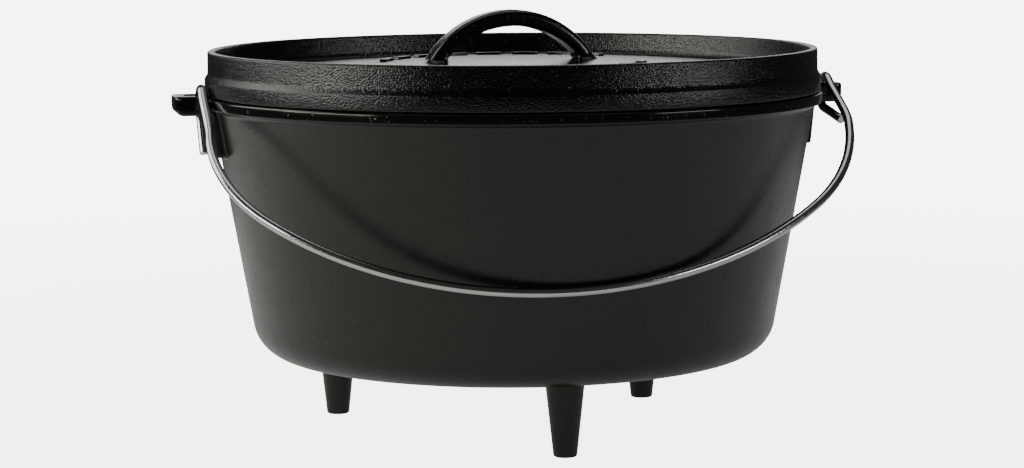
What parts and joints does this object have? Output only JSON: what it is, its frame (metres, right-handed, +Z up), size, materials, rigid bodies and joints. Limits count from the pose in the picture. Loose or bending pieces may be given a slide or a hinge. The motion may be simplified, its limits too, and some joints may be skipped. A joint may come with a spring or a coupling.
{
  "type": "camp dutch oven",
  "caption": "Deep cast iron camp dutch oven on short legs, with a flanged lid, a loop handle on the lid and a wire bail that swings in the ears.",
  "frame": {"origin": "on the ground, on the pot's axis, below the middle of the pot", "axes": "+Z up, X along the line of the two ears and of the bail's hinge axis, -Y the front, where the bail rests on the wall"},
  "size_m": [0.3528, 0.3204, 0.2163],
  "materials": {
    "pot_iron": "seasoned, satin, fine sand-cast grain",
    "lid_iron": "seasoned, semi-gloss, pebbly sand-cast grain",
    "zinc_wire": "bright zinc-plated drawn wire"
  },
  "bodies": {
    "pot": {"pot": "pot_iron"},
    "lid": {"lid": "lid_iron"},
    "bail": {"bail": "zinc_wire"}
  },
  "joints": [
    {"name": "bail_swing", "type": "hinge", "parent": "pot", "child": "bail", "pos_m": [0, -0.00875, 0.1705], "axis": [-1, 0, 0], "range_deg": [0, 145]},
    {"name": "lid_lift", "type": "slide", "parent": "pot", "child": "lid", "axis": [0, 0, 1], "range_m": [0, 0.03]}
  ]
}
